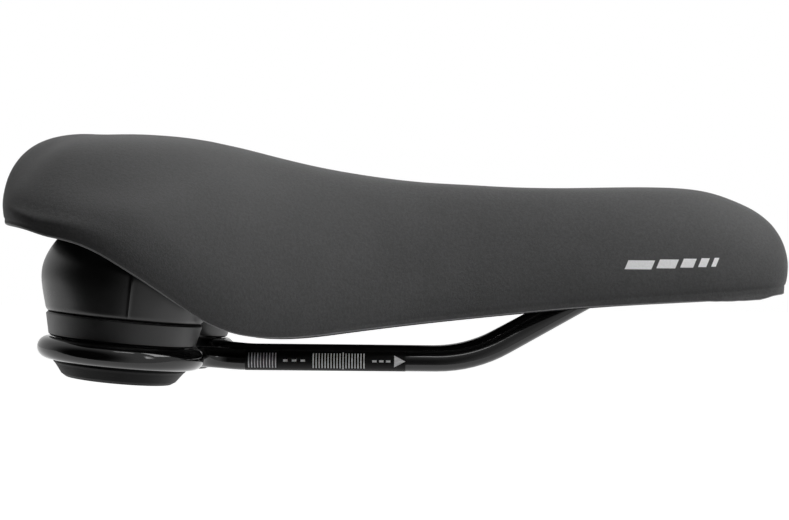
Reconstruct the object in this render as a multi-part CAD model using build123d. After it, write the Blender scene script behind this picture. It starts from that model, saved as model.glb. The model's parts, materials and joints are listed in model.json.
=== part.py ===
"""Bicycle saddle with a twin elastomer suspension, as an assembly of separate pieces.

A padded top (cover, foam, gel pads and a moulded shell) rocks on the transverse bar at the nose of
a single bent steel rail. At the rear the rail loops round the neck of two round suspension units.
Each unit is a rubber spring between the shell's boss and a cup that sits on the rail.

Units are millimetres. X runs forward to the nose, Y to the rider's left and Z up. The origin is the
middle of the rail clamping zone, half way between the two rails, at the height of their axes.
"""

from build123d import *
import math
import os

# ---------------------------------------------------------------- driving dimensions

# Clearances
RUNNING_GAP = 0.05  # round pivots and in threads
PRESS_GAP = 0.1  # between faces that are pressed or screwed together
LOOSE_GAP = 0.2  # round screws and sleeves

# Rail, one bent steel rod
ROD_R = 3.5  # radius of the rod
RAIL_HALF_GAUGE = 22.0  # centre plane to the axis of each rail
CLAMP_REAR_X = -31.0  # rear end of the straight clamping zone
CLAMP_FRONT_X = 33.0  # front end of the straight clamping zone
KINK_R = 60.0  # bend between the clamping zone and the tilted rear loops
RISE_R = 46.0  # bend that starts the climb to the nose
RISE_ANGLE = 30.0  # how steeply the rod climbs
RISE_LEAN = 17.2  # lean of the climbing plane towards the centre plane
LEVEL_R = 28.0  # bend that levels the rod again inside the nose
NOSE_BAR_X = 121.5  # the transverse nose bar is the saddle's pivot
NOSE_BAR_Z = 31.0
NOSE_CORNER_R = 7.0

# Suspension units, one on each side
UNIT_X = -68.9  # where the unit's axis crosses the plane of the rear loops
UNIT_Y = 45.0
UNIT_TILT = 5.2  # the units and the rear loops lean forward by this angle
KINK_X = CLAMP_REAR_X - KINK_R * math.tan(math.radians(UNIT_TILT / 2))
UNIT_Z = (KINK_X - UNIT_X) * math.tan(math.radians(UNIT_TILT))
LOOP_R = 23.0  # axis of the rod round each unit
LOOP_EXIT_R = 11.0  # reverse bend from the loop back to the rail
SPRING_BOTTOM = 11.4  # heights along the unit's axis, from the plane of the loops
SPRING_TOP = 37.4
SPRING_TOP_R = 21.2
SPRING_BORE_R = 8.0
CUP_R = 24.8
CUP_TOP = 11.2
CUP_BOTTOM_R = 22.6
CUP_BOTTOM = 3.7
NECK_R = 19.4  # the cup's neck, inside the loop
NECK_BOTTOM = -1.0
SPIGOT_R = 15.4  # the cap's spigot, inside the neck
SPIGOT_TOP = 3.9
CAP_R = 21.0
CAP_EDGE = -4.4
CAP_BOTTOM_R = 16.8
CAP_BOTTOM = -8.8
SHOULDER = -1.6  # step inside the cap that the top-out bumper rests against
BUMPER_T = 1.2
WASHER_T = 1.6
WASHER_R = 9.4
COUNTERBORE_R = 12.0  # room below the shoulder for the washer, which swings forward as it sinks
SLEEVE_R = 4.2
SLEEVE_BORE_R = 3.2
GUIDE_BORE_R = 7.0  # room round the sleeve, for the same swing
BOLT_R = 3.0
BOLT_HEAD_R = 6.0
BOLT_HEAD_T = 3.4
BOLT_HEAD_ROUND = 2.2
BOLT_TIP_GAP = 1.5  # from the tip to the end of the insert
SOCKET_R = 2.3  # to the corners of the hexagon
SOCKET_DEPTH = 2.2
INSERT_R = 4.6
INSERT_DEPTH = 10.0
INSERT_WAIST_DEPTH = 0.5

# Padded top
COVER_T = 1.4
FOAM_TOP_T = 16.0
FOAM_SIDE_T = 3.0
FOAM_END_T = 6.5
SHELL_T = 2.6
RIM_SHOWS = 0.9  # how far the shell's rim stands below the cover's hem
HEM_T = 2.0  # the cover's lower edge is turned in under the foam, this thick
CHANNEL_DEPTH = 3.2  # relief channel along the middle of the seat
CHANNEL_HALF_WIDTH = 13.0
CHANNEL_REAR_X, CHANNEL_FADE_IN = -100.0, 35.0
CHANNEL_FRONT_X, CHANNEL_FADE_OUT = 125.0, 70.0
GEL_T = 5.5
GEL_X, GEL_Y = -58.0, 41.0
GEL_HALF_LENGTH, GEL_HALF_WIDTH = 30.0, 24.0
GEL_POST_Z = 46.0  # the gel's outline is cut from here upwards
RIB_T = 2.2
RIB_DEPTH = 6.0
RIB_BASE_Z = 28.0  # lower than the lower edge of any rib
RIBS_ACROSS_X = (-22.0, 2.0, 26.0, 50.0, 74.0)
RIB_LINE_X, RIB_LINE_Y, RIB_LINE_LENGTH = 5.0, 14.0, 150.0
BOSS_R = 21.6
BOSS_LENGTH = 40.0

# Nose cradle and clip
CRADLE_HALF_WIDTH = 5.2
CRADLE_REAR_X, CRADLE_FRONT_X = 102.0, 141.0
CRADLE_TOP_Z = 44.0
CLIP_BOTTOM_Z = 24.6
CLIP_SCREWS_X = (109.0, 131.5)
CLIP_SCREW_R = 1.75
CLIP_SCREW_HEAD_R = 3.4
CLIP_SCREW_HEAD_T = 2.2
CLIP_SCREW_SUNK = 1.2
CLIP_SCREW_LENGTH = 11.5
CROSS_LENGTH, CROSS_WIDTH = 4.0, 0.9
CLIP_CORNER_R = 2.0
SCREW_HOLE_TOP_Z = 38.0

ARCH_POINTS = 12  # points along half an arch
OVER_CENTRE = 5.0
FAR = 200.0  # larger than any half size of the object

# Stations of the padded top, from the rear to the nose. Each is an arch that stands on a base line:
# (top x, top z, base x, base z, half width, superellipse exponent)
STATIONS = [
    (-107.4, 36.0, -82.0, 28.0, 86.0, 2.7),
    (-108.3, 47.0, -81.0, 28.0, 86.4, 2.7),
    (-108.2, 57.0, -79.5, 27.6, 87.0, 2.7),
    (-104.4, 67.5, -77.5, 27.0, 87.4, 2.8),
    (-95.8, 74.1, -74.5, 26.0, 87.7, 2.8),
    (-81.0, 75.7, -70.0, 23.5, 87.5, 2.8),
    (-64.0, 75.7, -60.0, 18.0, 84.5, 2.8),
    (-46.0, 74.6, -45.5, 10.5, 75.5, 2.8),
    (-28.0, 72.1, -28.0, 0.0, 62.5, 2.8),
    (-10.0, 69.0, -10.0, -4.0, 50.5, 2.8),
    (10.0, 66.1, 10.0, -2.0, 40.5, 2.8),
    (30.0, 64.0, 30.0, 1.0, 34.0, 2.8),
    (50.0, 62.9, 50.0, 4.0, 30.6, 2.75),
    (70.0, 62.5, 70.0, 6.5, 28.8, 2.7),
    (90.0, 62.6, 90.0, 8.0, 28.0, 2.65),
    (109.0, 61.9, 108.0, 9.0, 27.2, 2.6),
    (125.0, 59.7, 121.5, 9.5, 26.2, 2.5),
    (138.0, 55.8, 130.0, 9.8, 25.2, 2.45),
    (147.5, 50.6, 134.0, 9.8, 24.2, 2.4),
    (153.0, 44.1, 136.2, 9.8, 23.4, 2.4),
    (155.5, 36.8, 137.6, 9.8, 22.8, 2.35),
    (156.0, 28.5, 138.8, 9.6, 22.4, 2.35),
    (155.1, 17.0, 140.0, 9.4, 22.0, 2.35),
]

# Lower edge of the padded top, seen from the side: (x, z)
HEM_LINE = [
    (-113.0, 45.4),
    (-100.0, 42.8),
    (-88.0, 40.4),
    (-74.0, 37.2),
    (-62.0, 30.9),
    (-47.0, 20.4),
    (-32.0, 10.7),
    (-18.0, 8.1),
    (3.0, 9.7),
    (51.0, 15.2),
    (95.0, 19.2),
    (130.0, 21.3),
    (160.0, 23.8),
]


# ---------------------------------------------------------------- rail


def rod_along(moves, start, heading):
    """A round rod that follows a list of moves, and the point where it ends.

    A move is ("straight", length) or ("bend", radius, angle in degrees, direction it turns to).
    """
    pieces = []
    position = Vector(*start)
    heading = Vector(*heading).normalized()
    for move in moves:
        face = Plane(origin=position, z_dir=heading) * Circle(ROD_R)
        if move[0] == "straight":
            pieces.append(extrude(face, move[1]))
            position = position + heading * move[1]
            continue
        _, radius, angle, toward = move
        toward = Vector(*toward).normalized()
        turn_axis = Axis(position + toward * radius, heading.cross(toward))
        pieces.append(revolve(face, turn_axis, angle))
        swing = math.radians(angle)
        position = position + heading * (radius * math.sin(swing)) + toward * (radius * (1 - math.cos(swing)))
        heading = heading * math.cos(swing) + toward * math.sin(swing)
    rod = pieces[0]
    for piece in pieces[1:]:
        rod = rod + piece
    return rod, position


def build_rail():
    """Closed rail: rear crossbar, a loop round each unit, clamping zones, climb, nose bar."""
    tilt = math.radians(UNIT_TILT)
    along = Vector(math.cos(tilt), 0, -math.sin(tilt))  # forward, in the plane of the loops
    up = Vector(math.sin(tilt), 0, math.cos(tilt))
    loop_centre = Vector(UNIT_X, UNIT_Y, UNIT_Z)
    rear = loop_centre - along * LOOP_R - Vector(0, UNIT_Y, 0)

    # The loop and the reverse bend touch where the line between their centres crosses both.
    exit_side = RAIL_HALF_GAUGE + LOOP_EXIT_R - UNIT_Y
    exit_forward = math.sqrt((LOOP_R + LOOP_EXIT_R) ** 2 - exit_side**2)
    past_square = math.degrees(math.atan2(-exit_side, exit_forward))
    radial = (along * exit_forward + Vector(0, exit_side, 0)).normalized()

    kink_tangent = CLAMP_REAR_X - KINK_X
    loop_to_kink = (KINK_X - UNIT_X) / math.cos(tilt)
    lean = math.radians(RISE_LEAN)
    climb = Vector(0, -math.sin(lean), math.cos(lean))
    rise = math.radians(RISE_ANGLE)
    total_climb = NOSE_BAR_Z / math.cos(lean)
    slope = (total_climb - (RISE_R + LEVEL_R) * (1 - math.cos(rise))) / math.sin(rise)
    levelled_x = CLAMP_FRONT_X + (RISE_R + LEVEL_R) * math.sin(rise) + slope * math.cos(rise)
    nose_y = RAIL_HALF_GAUGE - total_climb * math.sin(lean)

    moves = [
        ("straight", UNIT_Y),
        ("bend", LOOP_R, 180 + past_square, tuple(along)),
        ("bend", LOOP_EXIT_R, 90 + past_square, tuple(radial)),
        ("straight", loop_to_kink - exit_forward - kink_tangent),
        ("bend", KINK_R, UNIT_TILT, tuple(up)),
        ("straight", CLAMP_FRONT_X - CLAMP_REAR_X),
        ("bend", RISE_R, RISE_ANGLE, tuple(climb)),
        ("straight", slope),
        ("bend", LEVEL_R, RISE_ANGLE, tuple(Vector(math.sin(rise), 0, 0) - climb * math.cos(rise))),
        ("straight", NOSE_BAR_X - NOSE_CORNER_R - levelled_x),
        ("bend", NOSE_CORNER_R, 90, (0, -1, 0)),
        ("straight", nose_y - NOSE_CORNER_R),
    ]
    half, end = rod_along(moves, tuple(rear), (0, 1, 0))
    assert abs(end.Y) < 0.01 and abs(end.X - NOSE_BAR_X) < 0.01, end
    return half + half.mirror(Plane.XZ)


# ---------------------------------------------------------------- suspension units


def unit_frame(side):
    """Frame of one suspension unit: origin on the plane of the loops, Z along the unit's axis."""
    tilt = math.radians(UNIT_TILT)
    return Plane(
        origin=(UNIT_X, side * UNIT_Y, UNIT_Z),
        x_dir=(math.cos(tilt), 0, -math.sin(tilt)),
        z_dir=(math.sin(tilt), 0, math.cos(tilt)),
    )


def turned(outline):
    """Solid of revolution about Z from an outline face drawn in the XZ plane."""
    return revolve(outline, Axis.Z, 360)


def rail_groove():
    """The ring of space that the rod takes round a unit, with a little room."""
    return Torus(LOOP_R, ROD_R + RUNNING_GAP)


def tube(outer_r, inner_r, bottom, top):
    """A plain tube on the unit's axis."""
    ring = Circle(outer_r) - Circle(inner_r)
    return extrude(Plane.XY.offset(bottom) * ring, top - bottom)


def make_spring():
    """Barrel-shaped rubber spring with a bore round the guide sleeve."""
    side = Spline(
        (25.0, SPRING_BOTTOM + 0.8),
        (26.7, SPRING_BOTTOM + 7.0),
        (27.4, SPRING_BOTTOM + 13.2),
        (25.6, SPRING_BOTTOM + 19.4),
        (SPRING_TOP_R, SPRING_TOP),
    )
    outline = Polyline(
        (SPRING_TOP_R, SPRING_TOP),
        (SPRING_BORE_R, SPRING_TOP),
        (SPRING_BORE_R, SPRING_BOTTOM),
        (24.2, SPRING_BOTTOM),
        (25.0, SPRING_BOTTOM + 0.8),
    )
    return turned(Plane.XZ * make_face([*side.edges(), *outline.edges()]))


def make_cup():
    """Cup that carries the spring on the rail, with a neck that fills the loop."""
    outline = Polyline(
        (GUIDE_BORE_R, CUP_TOP),
        (CUP_R - 0.5, CUP_TOP),
        (CUP_R, CUP_TOP - 0.6),
        (CUP_BOTTOM_R + 0.8, CUP_BOTTOM + 0.6),
        (CUP_BOTTOM_R, CUP_BOTTOM),
        (NECK_R, CUP_BOTTOM),
        (NECK_R, NECK_BOTTOM),
        (SPIGOT_R + PRESS_GAP, NECK_BOTTOM),
        (SPIGOT_R + PRESS_GAP, SPIGOT_TOP + PRESS_GAP),
        (GUIDE_BORE_R, SPIGOT_TOP + PRESS_GAP),
        close=True,
    )
    return turned(Plane.XZ * make_face(outline)) - rail_groove()


def make_cap():
    """Lower cap: its spigot is pressed up into the cup's neck, and its flange holds the rod."""
    outline = Polyline(
        (GUIDE_BORE_R, SHOULDER),
        (GUIDE_BORE_R, SPIGOT_TOP),
        (SPIGOT_R, SPIGOT_TOP),
        (SPIGOT_R, NECK_BOTTOM - PRESS_GAP),
        (CAP_R, NECK_BOTTOM - PRESS_GAP),
        (CAP_R, CAP_EDGE),
        (CAP_R - 0.7, CAP_EDGE - 0.7),
        (CAP_BOTTOM_R + 1.4, CAP_BOTTOM + 0.9),
        (CAP_BOTTOM_R, CAP_BOTTOM),
        (COUNTERBORE_R, CAP_BOTTOM),
        (COUNTERBORE_R, SHOULDER),
        close=True,
    )
    return turned(Plane.XZ * make_face(outline)) - rail_groove()


def make_bolt():
    """Button-head bolt with a hexagonal socket, from below the washer up into the insert."""
    seat = SHOULDER - BUMPER_T - WASHER_T
    tip = SPRING_TOP + INSERT_DEPTH - BOLT_TIP_GAP
    shank = extrude(Plane.XY.offset(seat) * Circle(BOLT_R), tip - seat)
    head = extrude(Plane.XY.offset(seat - BOLT_HEAD_T) * Circle(BOLT_HEAD_R), BOLT_HEAD_T)
    head = fillet(head.edges().sort_by(Axis.Z)[0], BOLT_HEAD_ROUND)
    socket = extrude(Plane.XY.offset(seat - BOLT_HEAD_T) * RegularPolygon(SOCKET_R, 6), SOCKET_DEPTH)
    return shank + head - socket


def make_insert():
    """Threaded insert moulded into the shell's boss, with a waist half way up that locks it there."""
    barrel = tube(INSERT_R, BOLT_R + RUNNING_GAP, SPRING_TOP, SPRING_TOP + INSERT_DEPTH)
    waist_bottom = SPRING_TOP + 0.4 * INSERT_DEPTH
    waist_top = SPRING_TOP + 0.6 * INSERT_DEPTH
    return barrel - tube(INSERT_R + 1.0, INSERT_R - INSERT_WAIST_DEPTH, waist_bottom, waist_top)


def suspension_pieces():
    """Pieces of one unit in its own frame, by name."""
    washer_top = SHOULDER - BUMPER_T
    return {
        "rubber_spring": make_spring(),
        "upper_cup": make_cup(),
        "lower_cap": make_cap(),
        "top_out_bumper": tube(WASHER_R, SLEEVE_R + LOOSE_GAP, washer_top, SHOULDER),
        "bolt_washer": tube(WASHER_R, BOLT_R + LOOSE_GAP, washer_top - WASHER_T, washer_top),
        "guide_sleeve": tube(SLEEVE_R, SLEEVE_BORE_R, washer_top, SPRING_TOP),
        "suspension_bolt": make_bolt(),
        "threaded_insert": make_insert(),
    }


# ---------------------------------------------------------------- padded top


def half_arch(station, top_t, side_t, end_t, channel):
    """Closed left half of one section: a superellipse arch on its base line, inset all round.

    top_t counts where the arch stands upright, end_t where it leans over at the nose and the tail.
    The section reaches a little past the centre plane, where the layer is cut flat afterwards.
    """
    top_x, top_z, base_x, base_z, half_width, power = station
    up = Vector(top_x - base_x, 0, top_z - base_z)
    upright = (up.Z / up.length) ** 2
    height = up.length - top_t * upright - end_t * (1 - upright)
    width = half_width - side_t
    foot = Vector(base_x, 0, base_z)
    points = []
    steps = [i / (ARCH_POINTS - 1) for i in range(ARCH_POINTS)]
    for step in steps:
        c, s = math.cos(step * math.pi / 2), math.sin(step * math.pi / 2)
        across = width * max(c, 0.0) ** (2 / power)
        rise = height * s ** (2 / power)
        dip = channel * upright**2 * math.exp(-((across / CHANNEL_HALF_WIDTH) ** 2))
        points.append(foot + up.normalized() * (rise - dip) + Vector(0, across, 0))
    overlap = Vector(0, -OVER_CENTRE, 0)
    curve = Edge.make_spline(points, tangents=[up, overlap], parameters=steps)
    rest = Polyline(points[-1], points[-1] + overlap, foot + overlap, points[0])
    return Wire([curve, *rest.edges()])


def channel_at(top_x):
    """Depth of the relief channel, which fades out towards the tail and the nose."""
    fade_in = min(max((top_x - CHANNEL_REAR_X) / CHANNEL_FADE_IN, 0.0), 1.0)
    fade_out = min(max((CHANNEL_FRONT_X - top_x) / CHANNEL_FADE_OUT, 0.0), 1.0)
    return CHANNEL_DEPTH * fade_in * (2 - fade_in) * fade_out * (2 - fade_out)


def left_half():
    """Everything on the left of the centre plane."""
    return Box(2 * FAR, FAR, 2 * FAR, align=(Align.CENTER, Align.MIN, Align.CENTER))


def envelope(top_t=0.0, side_t=0.0, end_t=0.0):
    """Left half of the space inside one padded layer, reaching below the top's lower edge."""
    sections = [half_arch(s, top_t, side_t, end_t, channel_at(s[0])) for s in STATIONS]
    return Solid.make_loft(sections) & left_half()


def shell_envelope(inset, roof_inset):
    """Left half of the space inside one layer of the shell, which has no channel."""
    top_t = COVER_T + FOAM_TOP_T + roof_inset
    side_t = COVER_T + FOAM_SIDE_T + inset
    end_t = COVER_T + FOAM_END_T + inset
    sections = [half_arch(s, top_t, side_t, end_t, 0.0) for s in STATIONS]
    return Solid.make_loft(sections) & left_half()


def above_hem(lift):
    """Everything higher than some distance above the hem line."""
    line = Spline([(x, z + lift) for x, z in HEM_LINE])
    first, last = line @ 0, line @ 1
    box = Polyline((last.X, last.Y), (last.X, FAR), (first.X, FAR), (first.X, first.Y))
    face = Plane.XZ * make_face([*line.edges(), *box.edges()])
    return extrude(face, FAR, both=True)


def gel_post():
    """Upright elliptical post that marks out the left gel pad in plan."""
    return extrude(Location((GEL_X, GEL_Y, GEL_POST_Z)) * Ellipse(GEL_HALF_LENGTH, GEL_HALF_WIDTH), FAR)


def rib_walls():
    """Tall thin walls that mark out the stiffening ribs under the shell."""
    standing = (Align.CENTER, Align.CENTER, Align.MIN)
    lengthwise = Box(RIB_LINE_LENGTH, RIB_T, FAR, align=standing)
    walls = [Location((RIB_LINE_X, RIB_LINE_Y, RIB_BASE_Z)) * lengthwise]
    for x in RIBS_ACROSS_X:
        walls.append(Location((x, 0, RIB_BASE_Z)) * Box(RIB_T, 2 * FAR, FAR, align=standing))
    return walls


def both_sides(half):
    """The whole of a piece from its left half."""
    return half + half.mirror(Plane.XZ)


def top_layers():
    """Left halves of the cover, foam and shell, the left gel pad, and the space inside the foam."""
    skin = envelope()
    padding = envelope(COVER_T, COVER_T, COVER_T)
    gel_floor = envelope(COVER_T + GEL_T, COVER_T + GEL_T, COVER_T + GEL_T)
    core = shell_envelope(0.0, 0.0)
    hollow = shell_envelope(SHELL_T, SHELL_T)
    rib_floor = shell_envelope(0.0, SHELL_T + RIB_DEPTH)

    above_turn = above_hem(RIM_SHOWS + HEM_T)

    gel = (padding & gel_post()) - gel_floor
    foam = (padding & above_turn) - core - gel
    turned_hem = (skin & above_hem(RIM_SHOWS)) - above_turn - core
    cover = (skin & above_turn) - padding + turned_hem
    shell = (core & above_hem(0.0)) - hollow
    for wall in rib_walls():
        shell = shell + ((wall & hollow) - rib_floor)
    return cover, foam, gel, shell, core


# ---------------------------------------------------------------- nose cradle and clip


def nose_groove():
    """Round space for the nose bar."""
    bar = Cylinder(ROD_R + RUNNING_GAP, 2 * CRADLE_HALF_WIDTH + 2, rotation=(90, 0, 0))
    return Location((NOSE_BAR_X, 0, NOSE_BAR_Z)) * bar


def cradle_block(bottom, top):
    """Narrow block across the nose bar, between two heights."""
    length = CRADLE_FRONT_X - CRADLE_REAR_X
    block = Box(length, 2 * CRADLE_HALF_WIDTH, top - bottom, align=(Align.MIN, Align.CENTER, Align.MIN))
    return Location((CRADLE_REAR_X, 0, bottom)) * block


def upright_pin(x, bottom, radius, length):
    """Upright round pin on the centre plane."""
    return Location((x, 0, bottom)) * Cylinder(radius, length, align=(Align.CENTER, Align.CENTER, Align.MIN))


def clip_screw(x):
    """Self-tapping pan-head screw that holds the clip up against the cradle."""
    seat = CLIP_BOTTOM_Z + CLIP_SCREW_SUNK
    head_bottom = seat - CLIP_SCREW_HEAD_T
    head = upright_pin(x, head_bottom, CLIP_SCREW_HEAD_R, CLIP_SCREW_HEAD_T)
    head = fillet(head.edges().sort_by(Axis.Z)[0], CLIP_SCREW_HEAD_T / 2)
    slot = Box(CROSS_LENGTH, CROSS_WIDTH, CLIP_SCREW_HEAD_T)
    cross = Location((x, 0, head_bottom)) * (slot + slot.rotate(Axis.Z, 90))
    return upright_pin(x, seat, CLIP_SCREW_R, CLIP_SCREW_LENGTH) + head - cross


def make_nose_clip():
    """Clip that closes the cradle under the nose bar."""
    clip = cradle_block(CLIP_BOTTOM_Z, NOSE_BAR_Z - PRESS_GAP)
    clip = fillet(clip.edges().filter_by(Axis.Z), CLIP_CORNER_R) - nose_groove()
    for x in CLIP_SCREWS_X:
        clip -= upright_pin(x, CLIP_BOTTOM_Z, CLIP_SCREW_R + LOOSE_GAP, CRADLE_TOP_Z)
        clip -= upright_pin(x, CLIP_BOTTOM_Z, CLIP_SCREW_HEAD_R + LOOSE_GAP, CLIP_SCREW_SUNK)
    return clip


def finished_half_shell(shell, core):
    """Adds the left spring boss and half the nose cradle to the shell, and bores them."""
    frame = unit_frame(1)
    boss = frame * extrude(Plane.XY.offset(SPRING_TOP) * Circle(BOSS_R), BOSS_LENGTH)
    cradle = cradle_block(NOSE_BAR_Z, CRADLE_TOP_Z) & left_half()
    shell = shell + (boss & core) + (cradle & core) - nose_groove()
    shell -= frame * extrude(Plane.XY.offset(SPRING_TOP) * Circle(INSERT_R), INSERT_DEPTH)
    for x in CLIP_SCREWS_X:
        shell -= upright_pin(x, NOSE_BAR_Z, CLIP_SCREW_R, SCREW_HOLE_TOP_Z - NOSE_BAR_Z)
    return shell


# ---------------------------------------------------------------- export


def save(name, shape):
    """Writes one node as parts/NAME.step."""
    solids = shape if isinstance(shape, list) else [shape]
    flat = [solid for item in solids for solid in item.solids()]
    whole = flat[0] if len(flat) == 1 else Compound(children=flat)
    export_step(whole, f"parts/{name}.step")


def main():
    os.makedirs("parts", exist_ok=True)
    save("rail", build_rail())
    for name, piece in suspension_pieces().items():
        for label, side in (("left", 1), ("right", -1)):
            save(f"{name}_{label}", unit_frame(side) * piece)
    cover, foam, gel, shell, core = top_layers()
    save("cover", both_sides(cover))
    save("foam_cushion", both_sides(foam))
    save("gel_pad_left", gel)
    save("gel_pad_right", gel.mirror(Plane.XZ))
    save("base_shell", both_sides(finished_half_shell(shell, core)))
    save("nose_clip", make_nose_clip())
    save("nose_clip_screws", [clip_screw(x) for x in CLIP_SCREWS_X])


main()
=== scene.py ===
"""Looks of the suspension saddle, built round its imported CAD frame. Everything is in metres."""

import json
import math

import bpy
import numpy as np
from mathutils import Matrix, Vector
from mathutils.bvhtree import BVHTree
from mathutils.kdtree import KDTree


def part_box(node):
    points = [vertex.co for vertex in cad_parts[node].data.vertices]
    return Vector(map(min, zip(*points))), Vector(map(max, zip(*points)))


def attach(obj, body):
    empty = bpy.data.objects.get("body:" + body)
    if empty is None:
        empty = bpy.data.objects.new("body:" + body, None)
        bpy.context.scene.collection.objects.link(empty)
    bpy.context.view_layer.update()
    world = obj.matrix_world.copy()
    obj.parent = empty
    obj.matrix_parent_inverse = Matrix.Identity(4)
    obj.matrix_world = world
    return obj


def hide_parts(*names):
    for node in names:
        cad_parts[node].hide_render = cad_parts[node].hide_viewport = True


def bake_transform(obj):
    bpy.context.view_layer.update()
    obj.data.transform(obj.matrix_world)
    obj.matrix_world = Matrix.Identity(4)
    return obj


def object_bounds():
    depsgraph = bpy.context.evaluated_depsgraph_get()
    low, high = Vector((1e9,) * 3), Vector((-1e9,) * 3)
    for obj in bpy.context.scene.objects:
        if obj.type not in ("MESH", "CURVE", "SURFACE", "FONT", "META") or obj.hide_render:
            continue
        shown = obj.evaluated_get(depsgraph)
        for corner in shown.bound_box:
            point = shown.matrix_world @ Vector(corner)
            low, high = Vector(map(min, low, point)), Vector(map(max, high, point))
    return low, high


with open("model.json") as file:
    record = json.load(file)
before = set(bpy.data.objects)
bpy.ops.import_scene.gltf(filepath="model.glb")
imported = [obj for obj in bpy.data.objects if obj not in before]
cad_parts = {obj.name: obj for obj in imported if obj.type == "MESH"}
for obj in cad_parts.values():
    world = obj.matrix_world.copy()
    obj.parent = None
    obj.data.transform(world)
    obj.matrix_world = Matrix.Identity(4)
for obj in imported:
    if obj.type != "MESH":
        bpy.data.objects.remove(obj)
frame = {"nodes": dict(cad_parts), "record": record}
cad_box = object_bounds()

MM = 0.001
TINY = 1e-6  # two points closer than this are the same point
NODES = frame["nodes"]
SIDES = {"left": 1, "right": -1}


# ---------------------------------------------------------------- measuring the frame


def coordinates(node):
    """All the vertices of a CAD node, as an array."""
    return np.array([v.co for v in NODES[node].data.vertices], float)


def tree_of(node):
    """Ray-casting tree of a CAD node."""
    mesh = NODES[node].data
    return BVHTree.FromPolygons([v.co for v in mesh.vertices], [p.vertices for p in mesh.polygons])


def unit_axis(side):
    """Bottom and direction of one suspension unit's axis, from its guide sleeve."""
    points = coordinates(f"guide_sleeve_{side}")
    centre = (points.min(0) + points.max(0)) / 2
    _, _, directions = np.linalg.svd(points - points.mean(0), full_matrices=False)
    up = Vector(directions[0]) * math.copysign(1, directions[0][2])
    return Vector(centre), up


# ---------------------------------------------------------------- mesh helpers

SMOOTHING = 0.25  # weight of one round
KEEP_SIZE = 0.26  # weight given back after each round, to keep large shapes the same size
MIRROR = np.array([1, -1, 1])


def new_piece(name, points, faces, material, smooth=True):
    """A mesh object with one material, linked to the scene."""
    mesh = bpy.data.meshes.new(name)
    mesh.from_pydata([tuple(p) for p in points], [], faces)
    mesh.validate()
    mesh.polygons.foreach_set("use_smooth", [smooth] * len(mesh.polygons))
    mesh.materials.append(material)
    mesh.update()
    piece = bpy.data.objects.new(name, mesh)
    bpy.context.scene.collection.objects.link(piece)
    return piece


def mark_sharp(piece, degrees):
    """Shades a piece smooth, with sharp edges above an angle."""
    piece.data.set_sharp_from_angle(angle=math.radians(degrees))


def blurred(grid, rounds, along_rows=True, along_columns=True, give_back=0.0):
    """A grid of points with fine noise smoothed away. Its edges stay where they are.

    With give_back a little over SMOOTHING, large shapes keep their size.
    """
    grid = grid.copy()
    for _ in range(rounds):
        for weight in (SMOOTHING, -give_back):
            if along_rows:
                grid[:, 1:-1] += weight * (grid[:, 2:] - 2 * grid[:, 1:-1] + grid[:, :-2])
            if along_columns:
                grid[1:-1] += weight * (grid[2:] - 2 * grid[1:-1] + grid[:-2])
    return grid


def along_x(x, pairs):
    """Straight-line interpolation over X of values given as (x in mm, value)."""
    places, values = zip(*pairs)
    return np.interp(x / MM, places, values)


def smoothstep(low, high, value):
    """0 below low, 1 above high and a smooth rise between."""
    t = np.clip((value - low) / (high - low), 0, 1)
    return t * t * (3 - 2 * t)


# ---------------------------------------------------------------- the padded top as a grid

COLUMN_SPACING = 2.0 * MM
ROW_COUNT = 62
RAY_REACH = 0.4
ARC_SAMPLES = 110
HEM_ROWS = np.array([0, 0.3, 0.6, 1.0, 1.4, 1.8, 2.2, 2.6, 3.0, 3.4, 3.8, 4.3, 5.0, 6.0, 7.5, 9.5]) * MM
VEIN_HEIGHT = 40 * MM  # height of the points that the rays are aimed at
EDGE_NORMAL_Z = -0.6  # faces that look further down than this are under the cover
SIDE_LEAN, UNDER_LEAN = math.radians(60), math.radians(150)  # from upright: on the side, under the edge
HALVINGS = 18
EDGE_SAMPLES = 240
TAIL_END, NOSE_START = 0.34, 0.86  # shares of the way round, where the sections stop and start to fan out
TAIL_FEET, TAIL_EASE = (33 * MM, 68 * MM), 1.5  # feet of the first and last fanned section, from the tail
NOSE_FEET, NOSE_EASE = (42 * MM, 21 * MM), 0.8  # and back from the nose; the power spaces those between
GRID_ROUNDS, GRID_PAD = 24, 12  # smoothing rounds, and mirrored columns and rows beside the half grid
NOSE_ROUNDS = 14
NOSE_FADE_IN, NOSE_FADE_OUT = (60 * MM, 95 * MM), (134 * MM, 150 * MM)
SHOULDER_FALL = 6.0 * MM  # how far the wings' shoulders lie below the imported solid
SHOULDER_SPREAD = 19 * MM
SHOULDER_LEAN = 0.74  # upward part of the normal where a shoulder is
SHOULDER_SHARE = ((-110, 1), (-45, 1), (0, 0.35), (45, 0), (157, 0))  # (x in mm, share)
SIDEWAYS = (0.45, 0.95)  # sideways part of the normal where a column starts and fully counts as a wing's
HEM_CLEAR = 12 * MM  # height above the hem that the shoulders' fall fades in over
COLUMN_ROUNDS = 20  # smoothing of a value along the columns


def vein(w, box):
    """Foot and heading of one section of the top, from the tail (w = 0) round the left to the nose.

    Sections stand upright. They fan out at the tail and the nose, and are square to X between.
    """
    low, high = box
    tail_x = [low.x + foot for foot in TAIL_FEET]
    nose_x = [high.x - foot for foot in NOSE_FEET]
    if w < TAIL_END:
        t = w / TAIL_END
        turn, x = 90 * t, tail_x[0] + (tail_x[1] - tail_x[0]) * t**TAIL_EASE
    elif w < NOSE_START:
        t = (w - TAIL_END) / (NOSE_START - TAIL_END)
        turn, x = 90, tail_x[1] + (nose_x[0] - tail_x[1]) * t
    else:
        t = (w - NOSE_START) / (1 - NOSE_START)
        turn, x = 90 + 90 * t, nose_x[0] + (nose_x[1] - nose_x[0]) * t**NOSE_EASE
    turn = math.radians(turn)
    return Vector((x, 0, VEIN_HEIGHT)), Vector((-math.cos(turn), math.sin(turn), 0))


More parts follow.
